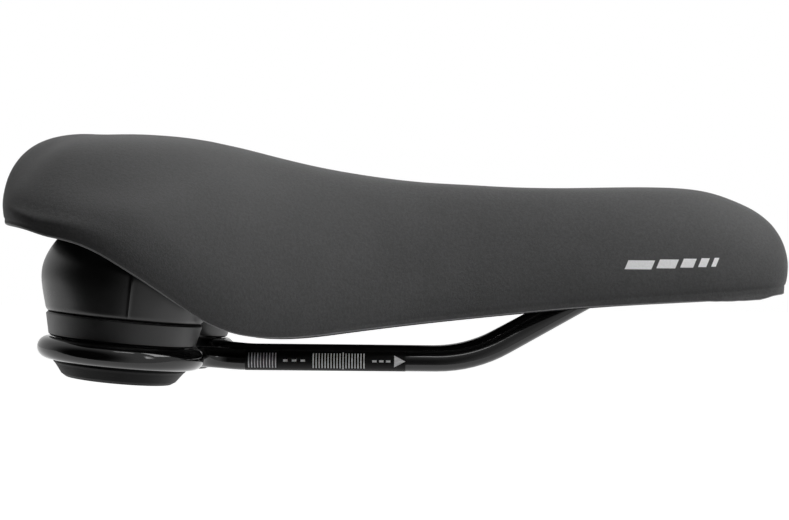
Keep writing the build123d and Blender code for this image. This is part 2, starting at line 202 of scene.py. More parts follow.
def outside(tree, foot, heading, lean):
    """Where the cover's outside meets a ray at an angle from upright, or None below its edge."""
    direction = heading * math.sin(lean) + Vector((0, 0, 1)) * math.cos(lean)
    hit, normal, _, _ = tree.ray_cast(foot + direction * RAY_REACH, -direction, RAY_REACH)
    if hit is None or normal.z < EDGE_NORMAL_Z:
        return None
    return hit


def edge_lean(tree, foot, heading):
    """The angle from upright at which a section reaches the cover's lower edge."""
    inside, beyond = SIDE_LEAN, UNDER_LEAN
    for _ in range(HALVINGS):
        middle = (inside + beyond) / 2
        if outside(tree, foot, heading, middle) is None:
            beyond = middle
        else:
            inside = middle
    return inside


def section(tree, foot, heading):
    """Points of one section, from the cover's lower edge up to the centre plane."""
    last = edge_lean(tree, foot, heading)
    hits = [outside(tree, foot, heading, last * (1 - i / (ARC_SAMPLES - 1))) for i in range(ARC_SAMPLES)]
    return np.array([h for h in hits if h is not None], float)


def resampled(points, lengths_from_start):
    """Points of a polyline at given lengths from its start."""
    steps = np.linalg.norm(np.diff(points, axis=0), axis=1)
    run = np.concatenate([[0], np.cumsum(steps)])
    return np.stack([np.interp(lengths_from_start, run, points[:, k]) for k in range(3)], 1)


def polyline_length(points):
    return float(np.linalg.norm(np.diff(points, axis=0), axis=1).sum())


def sample_top():
    """Left half of the cover's outside as grid[column, row].

    Columns run from the tail to the nose, rows from the hem to the centre plane.
    """
    tree = tree_of("cover")
    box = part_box("cover")
    ws = np.linspace(0, 1, EDGE_SAMPLES)
    edge = []
    for w in ws:
        foot, heading = vein(w, box)
        edge.append(outside(tree, foot, heading, edge_lean(tree, foot, heading)))
    edge = np.array(edge, float)
    run = np.concatenate([[0], np.cumsum(np.linalg.norm(np.diff(edge, axis=0), axis=1))])
    columns = int(run[-1] / COLUMN_SPACING)
    chosen = np.interp(np.linspace(0, run[-1], columns), run, ws)
    grid = np.zeros((columns, ROW_COUNT, 3))
    for i, w in enumerate(chosen):
        foot, heading = vein(w, box)
        arc = section(tree, foot, heading)
        total = polyline_length(arc)
        upper = np.linspace(HEM_ROWS[-1], total, ROW_COUNT - len(HEM_ROWS) + 1)[1:]
        grid[i] = resampled(arc, np.concatenate([HEM_ROWS, upper]))
    grid[:, -1, 1] = 0
    grid[0, :, 1] = 0
    grid[-1, :, 1] = 0
    return with_soft_shoulders(smoothed_half(grid))


def with_soft_shoulders(grid):
    """Rounds the shoulders of the rear wings, where the padding is pulled down by the cover."""
    normal = grid_normals(grid)
    run = run_up(grid)
    rises = np.maximum.accumulate(normal[:, :, 2], axis=1)
    shoulder = np.array([np.interp(SHOULDER_LEAN, rise, lengths) for rise, lengths in zip(rises, run)])
    shoulder = blurred(shoulder[:, None], COLUMN_ROUNDS, along_rows=False)
    middle = normal[:, ROW_COUNT // 2]
    sideways = np.abs(middle[:, 1]) / np.maximum(np.hypot(middle[:, 0], middle[:, 1]), 1e-9)
    share = smoothstep(*SIDEWAYS, sideways) * along_x(grid[:, 0, 0], SHOULDER_SHARE)
    share = blurred(share[:, None], COLUMN_ROUNDS, along_rows=False)
    fall = SHOULDER_FALL * share * np.exp(-(((run - shoulder) / SHOULDER_SPREAD) ** 2))
    fall *= smoothstep(0, HEM_CLEAR, run)
    lowered = grid.copy()
    lowered[..., 2] -= fall
    return lowered


def smoothed_half(grid):
    """The half grid without facets, smoothed across its mirror planes as well."""
    pad = GRID_PAD
    wide = np.concatenate([grid, (grid[:, ::-1] * MIRROR)[:, 1 : pad + 1]], axis=1)
    wide = np.concatenate([(wide * MIRROR)[pad:0:-1], wide, (wide * MIRROR)[-2 : -pad - 2 : -1]], axis=0)
    edge = wide[:, 0].copy()
    wide = blurred(wide, GRID_ROUNDS, give_back=KEEP_SIZE)
    edge = blurred(edge[:, None], GRID_ROUNDS, along_rows=False, give_back=KEEP_SIZE)[:, 0]
    wide[:, 0] = edge
    soft = blurred(wide, NOSE_ROUNDS)
    x = wide[:, :, :1]
    share = smoothstep(*NOSE_FADE_IN, x) * (1 - smoothstep(*NOSE_FADE_OUT, x))
    wide[:, 1:] += ((soft - wide) * share)[:, 1:]
    half = wide[pad : pad + grid.shape[0], : grid.shape[1]]
    half[:, -1, 1] = 0
    half[0, :, 1] = 0
    half[-1, :, 1] = 0
    return half


def grid_normals(grid):
    """Outward unit normals of the half grid."""
    wide = np.concatenate([grid, (grid[:, -2:-3:-1] * MIRROR)], axis=1)
    wide = np.concatenate([(wide * MIRROR)[1:2], wide, (wide * MIRROR)[-2:-1]], axis=0)
    along = wide[2:, :-1] - wide[:-2, :-1]
    up = np.gradient(wide, axis=1)[1:-1, :-1]
    normal = np.cross(up, along)
    length = np.linalg.norm(normal, axis=2, keepdims=True)
    return normal / np.maximum(length, 1e-12)


def run_up(grid):
    """Length along each column's section from the hem, for every point of the grid."""
    steps = np.linalg.norm(np.diff(grid, axis=1), axis=2)
    return np.concatenate([np.zeros((grid.shape[0], 1)), np.cumsum(steps, axis=1)], axis=1)


def add_points(points, grid):
    """Adds a half grid and its mirror image. Returns each point's number by (side, column, row)."""
    count, rows = grid.shape[:2]
    index = {}
    for side in SIDES.values():
        for i in range(count):
            for j in range(rows):
                shared = i in (0, count - 1) or j == rows - 1
                if side == -1 and shared:
                    index[side, i, j] = index[1, i, j]
                    continue
                index[side, i, j] = len(points)
                x, y, z = grid[i, j]
                points.append((x, 0.0 if shared else y * side, z))
    return index


def layer_faces(index, count, rows, flip):
    """Faces of a half grid and its mirror image. They are split in two at the tail and nose ends."""
    faces = []
    for side in SIDES.values():
        for i in range(count - 1):
            for j in range(rows - 1):
                a, b = index[side, i, j], index[side, i + 1, j]
                c, d = index[side, i + 1, j + 1], index[side, i, j + 1]
                parts = [(a, b, c, d)]
                if j == rows - 2 and i == 0:
                    parts = [(a, b, d), (b, c, d)]
                if j == rows - 2 and i == count - 2:
                    parts = [(a, b, c), (a, c, d)]
                if (side == 1) != flip:
                    parts = [tuple(reversed(part)) for part in parts]
                faces += parts
    return faces


def closed_layer(name, outer, inner, material):
    """A closed piece between two half grids and their mirror images, joined along the lower edge.

    Both grids have the same columns. Rows run from the lower edge up to the centre plane.
    """
    points, faces, numbers = [], [], []
    for grid, flip in ((outer, False), (inner, True)):
        index = add_points(points, grid)
        faces += layer_faces(index, *grid.shape[:2], flip)
        numbers.append(index)
    above, below = numbers
    for side in SIDES.values():
        for i in range(outer.shape[0] - 1):
            quad = (above[side, i, 0], above[side, i + 1, 0], below[side, i + 1, 0], below[side, i, 0])
            faces.append(tuple(reversed(quad)) if side == 1 else quad)
    return new_piece(name, points, faces, material)


# ---------------------------------------------------------------- materials

RANGE_INPUTS = ("From Min", "From Max", "To Min", "To Max")
SKIN_DARK, SKIN_PALE = 0.052, 0.084


class Nodes:
    """A small helper for building a material's nodes. Input names are written with underscores."""

    def __init__(self, name):
        self.material = bpy.data.materials.new(name)
        self.material.use_nodes = True
        self.tree = self.material.node_tree
        self.shader = self.tree.nodes["Principled BSDF"]
        self.place = self.add("ShaderNodeTexCoord").outputs["Object"]

    def add(self, kind, **inputs):
        node = self.tree.nodes.new(kind)
        for key, value in inputs.items():
            self.feed(node, key.replace("_", " "), value)
        return node

    def feed(self, node, key, value):
        socket = node.inputs[key]
        if isinstance(value, bpy.types.NodeSocket):
            self.tree.links.new(value, socket)
        else:
            socket.default_value = value

    def set(self, **inputs):
        for key, value in inputs.items():
            self.feed(self.shader, key.replace("_", " "), value)

    def noise(self, scale, detail=4.0, roughness=0.55):
        sizes = {"Scale": scale, "Detail": detail, "Roughness": roughness}
        node = self.add("ShaderNodeTexNoise", Vector=self.place, **sizes)
        return node.outputs["Fac"]

    def cells(self, scale, randomness=1.0):
        node = self.add("ShaderNodeTexVoronoi", Vector=self.place, Scale=scale, Randomness=randomness)
        return node.outputs["Distance"]

    def ramp(self, value, low, high, low_out, high_out):
        node = self.add("ShaderNodeMapRange", Value=value)
        for key, number in zip(RANGE_INPUTS, (low, high, low_out, high_out)):
            node.inputs[key].default_value = number
        return node.outputs["Result"]

    def math(self, operation, a, b):
        node = self.tree.nodes.new("ShaderNodeMath")
        node.operation = operation
        for key, value in enumerate((a, b)):
            self.feed(node, key, value)
        return node.outputs["Value"]

    def mix(self, share, a, b):
        node = self.tree.nodes.new("ShaderNodeMix")
        node.data_type = "RGBA"
        self.feed(node, 0, share)
        for socket, colour in ((node.inputs[6], a), (node.inputs[7], b)):
            socket.default_value = (*colour, 1)
        return node.outputs[2]

    def bump(self, height, strength, distance):
        node = self.add("ShaderNodeBump", Height=height, Strength=strength, Distance=distance)
        self.set(Normal=node.outputs["Normal"])


def grey(value):
    return (value, value, value * 1.01)


def skin_material():
    """Matte synthetic cover with a very fine grain."""
    m = Nodes("cover_skin")
    clouds = m.ramp(m.noise(45, 4), 0.3, 0.7, 0, 1)
    grain = m.noise(1150, 6, 0.75)
    shade = m.math("ADD", m.math("MULTIPLY", clouds, 0.3), m.ramp(grain, 0.38, 0.62, 0, 0.7))
    m.set(
        Base_Color=m.mix(shade, grey(SKIN_DARK), grey(SKIN_PALE)),
        Roughness=m.ramp(grain, 0.3, 0.7, 0.62, 0.74),
        Specular_IOR_Level=0.3,
        Sheen_Weight=0.1,
        Sheen_Roughness=0.4,
    )
    m.bump(grain, 0.7, 0.0002)
    return m.material


def plastic_material(name, shade, low_roughness, high_roughness, bump_strength, scale=1400, specular=0.5):
    """Moulded plastic with a fine erosion texture."""
    m = Nodes(name)
    cloud = m.noise(90, 3)
    grain = m.noise(scale, 4, 0.6)
    m.set(
        Base_Color=m.mix(m.ramp(cloud, 0.35, 0.65, 0, 1), grey(shade), grey(shade * 1.25)),
        Roughness=m.ramp(cloud, 0.35, 0.65, low_roughness, high_roughness),
        Specular_IOR_Level=specular,
    )
    m.bump(grain, bump_strength, 0.0001)
    return m.material


def paint_material():
    """Gloss black powder coat with a faint orange peel."""
    m = Nodes("rail_paint")
    peel = m.noise(420, 2)
    m.set(
        Base_Color=(*grey(0.004), 1),
        Roughness=m.ramp(m.noise(160, 3), 0.3, 0.7, 0.07, 0.11),
        Specular_IOR_Level=0.5,
    )
    m.bump(peel, 0.06, 0.0002)
    return m.material


def label_material():
    """Black transfer film that the rail's scale is printed on."""
    m = Nodes("label_film")
    m.set(
        Base_Color=(*grey(0.003), 1),
        Roughness=m.ramp(m.noise(700, 3), 0.3, 0.7, 0.42, 0.5),
        Specular_IOR_Level=0.15,
    )
    return m.material


def edge_highlight_material():
    """Lower edge of the cover, smoother than the skin; its paler colour is a painted highlight where the
    edge catches the light.
    """
    m = Nodes("cover_edge_highlight")
    m.set(
        Base_Color=m.mix(m.ramp(m.noise(600, 4), 0.3, 0.7, 0, 1), grey(0.20), grey(0.28)),
        Roughness=0.5,
        Specular_IOR_Level=0.5,
    )
    m.bump(m.noise(1500, 3), 0.3, 0.0001)
    return m.material


def rubber_material():
    """Semi-gloss moulded elastomer."""
    m = Nodes("spring_rubber")
    cloud = m.noise(70, 4)
    m.set(
        Base_Color=m.mix(m.ramp(cloud, 0.35, 0.65, 0, 1), grey(0.010), grey(0.014)),
        Roughness=m.ramp(cloud, 0.3, 0.7, 0.26, 0.36),
        Specular_IOR_Level=0.5,
    )
    m.bump(m.noise(900, 4, 0.6), 0.15, 0.0001)
    return m.material


def ink_material():
    """White printed ink, thin enough to show a little of what lies under it."""
    m = Nodes("white_print")
    patches = m.noise(1500, 3)
    m.set(
        Base_Color=m.mix(m.ramp(patches, 0.35, 0.6, 0, 1), grey(0.90), grey(0.98)),
        Roughness=0.5,
    )
    return m.material


def metal_material(name, colour, low_roughness, high_roughness):
    """Plated or turned metal with fine variation."""
    m = Nodes(name)
    cloud = m.noise(500, 5, 0.65)
    darker = tuple(c * 0.75 for c in colour)
    m.set(
        Base_Color=m.mix(m.ramp(cloud, 0.35, 0.65, 0, 1), darker, colour),
        Metallic=1.0,
        Roughness=m.ramp(cloud, 0.3, 0.7, low_roughness, high_roughness),
    )
    m.bump(m.noise(2500, 3), 0.1, 0.00005)
    return m.material


def foam_material():
    """Open-cell polyurethane foam."""
    m = Nodes("foam")
    cells = m.cells(900)
    m.set(
        Base_Color=m.mix(m.ramp(cells, 0.1, 0.6, 0, 1), grey(0.05), grey(0.16)),
        Roughness=0.95,
        Specular_IOR_Level=0.2,
    )
    m.bump(cells, 0.6, 0.0006)
    return m.material


def gel_material():
    """Clear bluish gel with small bubbles."""
    m = Nodes("gel")
    bubbles = m.cells(400)
    m.set(
        Base_Color=m.mix(m.ramp(bubbles, 0.05, 0.2, 0, 1), (0.25, 0.38, 0.46), (0.10, 0.20, 0.28)),
        Roughness=0.22,
        Transmission_Weight=0.35,
    )
    m.bump(m.noise(200, 3), 0.15, 0.0004)
    return m.material


MATERIALS = {
    "cover_skin": skin_material(),
    # painted highlight: the cover's lower edge, painted paler where it catches the light
    "cover_edge_highlight": edge_highlight_material(),
    "label_film": label_material(),
    "rail_paint": paint_material(),
    "spring_rubber": rubber_material(),
    # shade, roughness from and to, bump strength
    "cup_plastic": plastic_material("cup_plastic", 0.016, 0.36, 0.46, 0.25),
    "cap_plastic": plastic_material("cap_plastic", 0.012, 0.50, 0.60, 0.3, specular=0.1),
    "shell_plastic": plastic_material("shell_plastic", 0.022, 0.5, 0.62, 0.5, 900),
    "clip_plastic": plastic_material("clip_plastic", 0.018, 0.42, 0.52, 0.3),
    "bumper_rubber": plastic_material("bumper_rubber", 0.012, 0.6, 0.75, 0.3),
    # colour, roughness from and to
    "steel": metal_material("steel", (0.62, 0.62, 0.60), 0.24, 0.38),
    "sleeve_steel": metal_material("sleeve_steel", (0.50, 0.50, 0.50), 0.28, 0.42),
    "insert_brass": metal_material("insert_brass", (0.72, 0.55, 0.28), 0.25, 0.4),
    "foam": foam_material(),
    "gel": gel_material(),
    "white_print": ink_material(),
}


def paint_cad_nodes():
    """Gives every CAD node the material of its slot in the record."""
    for entry in frame["record"]["subparts"]:
        mesh = NODES[entry["node"]].data
        mesh.materials.clear()
        mesh.materials.append(MATERIALS[entry["material_slot"]])


# ---------------------------------------------------------------- cover

HEM_STEP = 1.0 * MM  # how far the turned hem lies inside the side's bulge
STEP_BELOW, STEP_ABOVE = 0.3 * MM, 0.7 * MM  # the step's height either side of the crease
TUCK, TUCK_RISE, TUCK_FADE = 0.7 * MM, 0.6 * MM, 8 * MM  # depth of the crease, and how it starts and ends
UNDERCUT = 3.2 * MM  # how far the wings' sides curve in towards the hem
UNDERCUT_HEIGHT = 20 * MM
GATHER, GATHER_PITCH, GATHER_HEIGHT = 0.34 * MM, 3.2 * MM, 3.2 * MM
LEDGE_WIDTH = 3.3 * MM
LEDGE_SLOPES = (-0.75, 0.3)  # steepest fall and rise of the ledge along X
# rows of the ledge from its inner end to the skin, as shares of its width and of its height
LEDGE_SHAPE = ((1, 1), (0.66, 1), (0.33, 1), (0.15, 1), (0.08, 0.9), (0.02, 0.6), (0.0, 0.25))
EDGE_HIGHLIGHT_ROWS = range(3, 7)  # rows of the ledge that carry the painted highlight of the rounded edge
SKIN_T = 2.6 * MM
LIP_T = 0.6 * MM
INNER_FIRST_ROW, INNER_ROWS = 8, 20

# profiles along the saddle, as (x in mm, value)
CREASE_HEIGHTS_TAIL = ((-110, 1.2), (-80, 1), (-20, 1.1), (20, 1.7))
CREASE_HEIGHTS = (*CREASE_HEIGHTS_TAIL, (70, 1.9), (85, 2.1), (115, 2.6), (157, 2.9))
CREASE_SHARES = ((-110, 1), (-95, 0.7), (-70, 0.3), (-30, 0.3), (0, 0.6), (20, 1), (95, 1.1), (157, 1.25))
UNDERCUT_SHARES_TAIL = ((-110, 0), (-100, 0.05), (-86, 1), (-40, 1), (-15, 0.6))
UNDERCUT_SHARES = (*UNDERCUT_SHARES_TAIL, (10, 0.3), (100, 0.2), (157, 0.1))
EDGE_HEIGHTS = ((-110, 0.9), (-60, 0.8), (-40, 0.5), (157, 0.45))
GATHER_SHARES = ((60, 0), (85, 1), (125, 1), (150, 0.5), (157, 0.5))


def cover_grid(base):
    """The cover's outside: the sampled top, with its undercut, hem, crease and gathers."""
    normal = grid_normals(base)
    run = run_up(base)
    x = base[:, :1, 0]
    crease, share = along_x(x, CREASE_HEIGHTS) * MM, along_x(x, CREASE_SHARES)
    step = HEM_STEP * share * (1 - smoothstep(crease - STEP_BELOW, crease + STEP_ABOVE, run))
    tuck = TUCK * share * np.clip(1 - (run - crease) / TUCK_FADE, 0, 1) ** 2
    tuck *= smoothstep(crease, crease + TUCK_RISE, run)
    undercut = UNDERCUT * along_x(x, UNDERCUT_SHARES) * np.clip(1 - run / UNDERCUT_HEIGHT, 0, 1) ** 2
    gathers = gather_depth(base) * np.clip(1 - run / GATHER_HEIGHT, 0, 1)
    inward = step + tuck + undercut + gathers
    return base - normal * inward[..., None]


def gather_depth(base):
    """Small gathers along the hem of the nose, as a depth for each column."""
    edge = base[:, 0]
    run = np.concatenate([[0], np.cumsum(np.linalg.norm(np.diff(edge, axis=0), axis=1))])
    wave = 0.5 + 0.5 * np.cos(run * 2 * math.pi / GATHER_PITCH)
    return (GATHER * wave * along_x(edge[:, 0], GATHER_SHARES))[:, None]


def with_ledge(outer, base):
    """Adds a rounded edge below the hem, and a ledge that turns inward to the shell."""
    normal = grid_normals(base)[:, 0].copy()
    normal[:, 2] = 0
    normal /= np.linalg.norm(normal, axis=1, keepdims=True)
    rise = np.gradient(base[:, 0, 2])
    ahead = np.gradient(base[:, 0, 0])
    slope = np.clip(rise / np.where(np.abs(ahead) > TINY, ahead, TINY), *LEDGE_SLOPES)
    slope = blurred(slope[:, None], COLUMN_ROUNDS, along_rows=False)[:, 0]
    drop = along_x(base[:, 0, 0], EDGE_HEIGHTS) * MM
    rows = []
    for inward, down in LEDGE_SHAPE:
        shift = -normal * (LEDGE_WIDTH * inward)
        row = outer[:, 0] + shift
        row[:, 2] += slope * shift[:, 0] - down * drop
        row[[0, -1], 1] = 0
        rows.append(row)
    return np.concatenate([np.stack(rows, 1), outer], axis=1)


def inner_face(base, depth, first_row, rows):
    """A coarser half grid a given depth below the sampled top, from some row upward."""
    normal = grid_normals(base)
    pick = np.unique(np.linspace(first_row, base.shape[1] - 1, rows).round().astype(int))
    inner = (base - normal * depth)[:, pick]
    inner[:, -1, 1] = 0
    inner[[0, -1], :, 1] = 0
    return inner


def paint_edge_highlight(cover, outer):
    """Gives the rounded edge of the cover its own paler material, a painted highlight where the edge
    catches the light.
    """
    cover.data.materials.append(MATERIALS["cover_edge_highlight"])
    edge_points = outer[:, EDGE_HIGHLIGHT_ROWS].reshape(-1, 3)
    near = KDTree(2 * len(edge_points))
    for i, point in enumerate(edge_points):
        near.insert(point, i)
        near.insert(point * MIRROR, i)
    near.balance()
    on_edge = [near.find(v.co)[2] < TINY for v in cover.data.vertices]
    for face in cover.data.polygons:
        if all(on_edge[v] for v in face.vertices):
            face.material_index = 1


def build_cover(base):
    """The skin: a closed shell with a turned hem and a rounded edge that carries a painted highlight."""
    outer = with_ledge(cover_grid(base), base)
    inner = inner_face(base, SKIN_T, INNER_FIRST_ROW, INNER_ROWS)
    lip = outer[:, :1].copy()
    lip[:, :, 2] += LIP_T
    inner = np.concatenate([lip, inner], axis=1)
    cover = closed_layer("saddle_cover", outer, inner, MATERIALS["cover_skin"])
    paint_edge_highlight(cover, outer)
    mark_sharp(cover, 60)
    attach(cover, "saddle")
    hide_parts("cover")
    return cover


# ---------------------------------------------------------------- padding

FOAM_DEPTH = 2.9 * MM  # from the outside of the cover
FOAM_FIRST_ROW, FOAM_ROWS = 10, 22
FOAM_CLEARANCE = 0.3 * MM  # above the bottom of its CAD solid
FOAM_LEAST_T = 1.5 * MM
FOAM_ROUNDS = 4
GEL_CLEARANCE = 0.2 * MM  # below the top of the foam
GEL_LIMIT_ROWS = 40
GEL_LEAST_T = 1 * MM
GEL_RINGS, GEL_SPOKES = 14, 72
GEL_WIDTH_SHARE, GEL_HEIGHT_SHARE = 0.985, 0.88  # of its CAD solid
GEL_EDGE_POWER = 6  # a higher power keeps the pad flatter up to its edge
RAY_START = 0.1  # how far beyond a part the rays towards it start


def build_foam(base):
    """Padding under the cover, down to the shell."""
    tree = tree_of("foam_cushion")
    outer = inner_face(base, FOAM_DEPTH, FOAM_FIRST_ROW, FOAM_ROWS)
    inner = outer.copy()
    for i, top_x in enumerate(base[:, -1, 0]):
        foot = Vector((top_x, 0, VEIN_HEIGHT))
        for j in range(outer.shape[1]):
            target = Vector(outer[i, j])
            direction = (target - foot).normalized()
            hit, _, _, _ = tree.ray_cast(foot, direction, (target - foot).length)
            gap = target - (hit if hit is not None else foot)
            depth = min(max(gap.length - FOAM_CLEARANCE, FOAM_LEAST_T), (target - foot).length / 2)
            inner[i, j] = target - direction * depth
    inner[:, -1, 1] = 0
    inner[[0, -1], :, 1] = 0
    inner = blurred(inner, FOAM_ROUNDS)
    foam = closed_layer("foam_padding", outer, inner, MATERIALS["foam"])
    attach(foam, "saddle")
    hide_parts("foam_cushion")


def skin_inside(base):
    """Ray-casting tree of the face that the padding's parts stay below."""
    grid = inner_face(base, FOAM_DEPTH + GEL_CLEARANCE, FOAM_FIRST_ROW, GEL_LIMIT_ROWS)
    points = np.concatenate([grid.reshape(-1, 3), (grid * MIRROR).reshape(-1, 3)])
    count, rows = grid.shape[:2]
    quads = []
    for half in (0, count * rows):
        for i in range(count - 1):
            for a in range(half + i * rows, half + (i + 1) * rows - 1):
                quads.append((a, a + rows, a + rows + 1, a + 1))
    return BVHTree.FromPolygons([Vector(p) for p in points], quads)


def gel_point_pairs(node, skin):
    """Top and bottom points of a gel pad: the middle, then rings of spokes out to the rim."""
    tree = tree_of(node)
    low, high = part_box(node)
    centre, half = (low + high) / 2, (high - low) / 2 * GEL_WIDTH_SHARE
    up = Vector((0, 0, 1))

    def top_and_bottom(x, y):
        above, below = Vector((x, y, high.z + RAY_START)), Vector((x, y, low.z - RAY_START))
        return tree.ray_cast(above, -up)[0], tree.ray_cast(below, up)[0], skin.ray_cast(above, -up)[0]

    top, bottom, _ = top_and_bottom(centre.x, centre.y)
    tops, bottoms = [top], [bottom]
    for r in range(1, GEL_RINGS + 1):
        share = math.sin(math.pi / 2 * r / GEL_RINGS)
        squeeze = math.sqrt(max(0.0, 1 - share**GEL_EDGE_POWER)) * GEL_HEIGHT_SHARE
        for k in range(GEL_SPOKES):
            turn = 2 * math.pi * k / GEL_SPOKES
            x = centre.x + half.x * share * math.cos(turn)
            y = centre.y + half.y * share * math.sin(turn)
            top, bottom, limit = top_and_bottom(x, y)
            top.z = max(min(top.z, limit.z), bottom.z + GEL_LEAST_T)
            middle = (top + bottom) / 2
            tops.append(middle + (top - middle) * squeeze)
            bottoms.append(middle + (bottom - middle) * squeeze)
    return tops, bottoms


def gel_faces(count):
    """Faces over the tops (numbers from 0) and the bottoms (numbers from count). They share the rim."""
    rim = 1 + (GEL_RINGS - 1) * GEL_SPOKES

    def under(v):
        return v if v >= rim else count + v

    faces = []
    for k in range(GEL_SPOKES):
        after = (k + 1) % GEL_SPOKES
        faces.append((0, 1 + k, 1 + after))
        faces.append((count, under(1 + after), under(1 + k)))
        for r in range(GEL_RINGS - 1):
            a, b = 1 + r * GEL_SPOKES + k, 1 + r * GEL_SPOKES + after
            c, d = b + GEL_SPOKES, a + GEL_SPOKES
            faces.append((a, d, c, b))
            faces.append((under(a), under(b), under(c), under(d)))
    return faces


def build_gel(side, skin):
    """Gel pad: a lens with a rounded edge, between the faces of its CAD solid and below the skin."""
    node = f"gel_pad_{side}"
    tops, bottoms = gel_point_pairs(node, skin)
    rim = len(tops) - GEL_SPOKES
    ring = [(top + bottom) / 2 for top, bottom in zip(tops[rim:], bottoms[rim:])]
    points = tops[:rim] + ring + bottoms[:rim]
    gel = new_piece(f"gel_insert_{side}", points, gel_faces(len(tops)), MATERIALS["gel"])
    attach(gel, "saddle")
    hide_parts(node)


# ---------------------------------------------------------------- springs

SPRING_SPOKES = 360
SPRING_LEVELS = 44
SPRING_INSET = 0.05 * MM  # of the first and last level from the end faces
BOTTOM_ROUND, TOP_ROUND = 0.5 * MM, 0.4 * MM  # by how much the end faces are smaller
BORE_FLARE, BORE_FLARE_HEIGHT = 0.3 * MM, 0.4 * MM
PARTING_RIDGE = 0.3 * MM
PARTING_HALF_WIDTH = 0.7  # degrees
PARTING_AT = (78, 258)  # degrees round from straight ahead, towards the outside


def spring_section(tree, centre, up, outward, bottom, top):
    """Closed section of a spring as (height, radius), and the range of its points on the outside."""

    def radii(height):
        """Radius of the bore and of the outside at a height."""
        start = centre + up * height
        near = tree.ray_cast(start, outward)[0]
        far = tree.ray_cast(start + outward * RAY_START, -outward)[0]
        return (near - start).length, (far - start).length

    levels = np.linspace(bottom + SPRING_INSET, top - SPRING_INSET, SPRING_LEVELS)
    side = [(height, radii(height)[1]) for height in levels]
    bore = radii((bottom + top) / 2)[0]
    section = [(bottom, bore + BORE_FLARE), (bottom, side[0][1] - BOTTOM_ROUND)]
    section += side
    section += [(top, side[-1][1] - TOP_ROUND), (top, bore + BORE_FLARE)]
    section += [(top - BORE_FLARE_HEIGHT, bore), (bottom + BORE_FLARE_HEIGHT, bore)]
    return section, range(2, 2 + SPRING_LEVELS)


def parting_ridge(turn):
    """Height of the mould's parting line at an angle round the spring, in degrees."""
    return PARTING_RIDGE * sum(math.exp(-(((turn - at) / PARTING_HALF_WIDTH) ** 2)) for at in PARTING_AT)


def build_spring(side):
    """Barrel-shaped elastomer with its mould's parting line."""
    node = f"rubber_spring_{side}"
    centre, up = unit_axis(side)
    heights = (coordinates(node) - np.array(centre)) @ np.array(up)
    bottom, top = heights.min(), heights.max()
    outward = Vector((0, SIDES[side], 0))
    forward = outward.cross(up) * SIDES[side]
    section, outside_points = spring_section(tree_of(node), centre, up, outward, bottom, top)
    points, faces = [], []
    count = len(section)
    for k in range(SPRING_SPOKES):
        turn = 360 * k / SPRING_SPOKES
        direction = forward * math.cos(math.radians(turn)) + outward * math.sin(math.radians(turn))
        for n, (height, radius) in enumerate(section):
            ridge = parting_ridge(turn) if n in outside_points else 0
            points.append(centre + up * height + direction * (radius + ridge))
        here, beside = k * count, (k + 1) % SPRING_SPOKES * count
        for n in range(count):
            m = (n + 1) % count
            quad = (here + n, here + m, beside + m, beside + n)
            faces.append(quad if side == "right" else tuple(reversed(quad)))
    spring = new_piece(f"elastomer_{side}", points, faces, MATERIALS["spring_rubber"])
    mark_sharp(spring, 50)
    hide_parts(node)
    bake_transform(spring)


# ---------------------------------------------------------------- print

ROD_R = 3.5 * MM
RAIL_HALF_GAUGE = 22 * MM
PRINT_T = 0.03 * MM
LABEL_LIFT, SCALE_LIFT = 0.01 * MM, 0.045 * MM  # above the rod
LABEL_X = (-31.2 * MM, 22.6 * MM)
LABEL_ANGLES = (-1.75, 1.2)  # radians up from straight outwards
LABEL_STEPS_ROUND, LABEL_STEPS_ALONG = 24, 30
TICK_PITCH = 1.0 * MM
TICK_HALF_HEIGHT = 2.45 * MM
TICK_WIDTH = 0.42 * MM
TICK_GROUPS = ((-29.9 * MM, 10), (-8.3 * MM, 18))  # first graduation and count
LONG_TICK, LONG_TICK_SHARE = 10, 1.12  # in the second group
DASHES_X = (-17.6 * MM, -14.7 * MM, -11.8 * MM, 12.2 * MM, 14.5 * MM, 16.8 * MM)
DASH_HALF_LENGTH, DASH_HALF_HEIGHT = 0.75 * MM, 0.35 * MM
ARROW_X = 18.8 * MM
ARROW_LENGTH, ARROW_HALF_HEIGHT = 3.7 * MM, 1.9 * MM
ARROW_TIP_SHARE = 1.02  # of the length, so that its blunt ends keep some width
NOSE_MARK_X, NOSE_MARK_Z = 95.5 * MM, 31.6 * MM
NOSE_MARK_RISE = math.tan(math.radians(2.2))
NOSE_MARK_LIFT, NOSE_MARK_T = 0.02 * MM, 0.05 * MM
BAR_WIDTHS = (9.0 * MM, 6.4 * MM, 4.4 * MM, 2.8 * MM, 1.6 * MM)
BAR_GAP, BAR_HEIGHT, BAR_LEAN = 1.7 * MM, 3.0 * MM, 0.45
BAR_STEPS = 6
RAY_SIDE = 0.2  # how far beside the saddle the rays towards its nose start


def wrapped_patch(rows, side, lift):
    """Closed thin patch on the outer side of a rail, from rows of (x, angle round the rod)."""
    points = []
    for reach in (ROD_R + lift, ROD_R + lift + PRINT_T):
        for row in rows:
            for x, angle in row:
                y = side * (RAIL_HALF_GAUGE + reach * math.cos(angle))
                points.append((x, y, reach * math.sin(angle)))
    return points, thin_faces(len(rows), len(rows[0]), side == 1)


def thin_faces(rows, columns, flip):
    """Faces of two stacked grids of points, closed round their edges."""
    layer = rows * columns
    faces = []
    for r in range(rows - 1):
        for c in range(columns - 1):
            a, b = r * columns + c, r * columns + c + 1
            d, e = a + columns, b + columns
            faces.append((a, d, e, b))
            faces.append((layer + a, layer + b, layer + e, layer + d))
    rim = list(range(columns))
    rim += [r * columns + columns - 1 for r in range(1, rows)]
    rim += [(rows - 1) * columns + c for c in range(columns - 2, -1, -1)]
    rim += [r * columns for r in range(rows - 2, 0, -1)]
    for a, b in zip(rim, rim[1:] + rim[:1]):
        faces.append((a, b, layer + b, layer + a))
    return [tuple(reversed(f)) for f in faces] if flip else faces


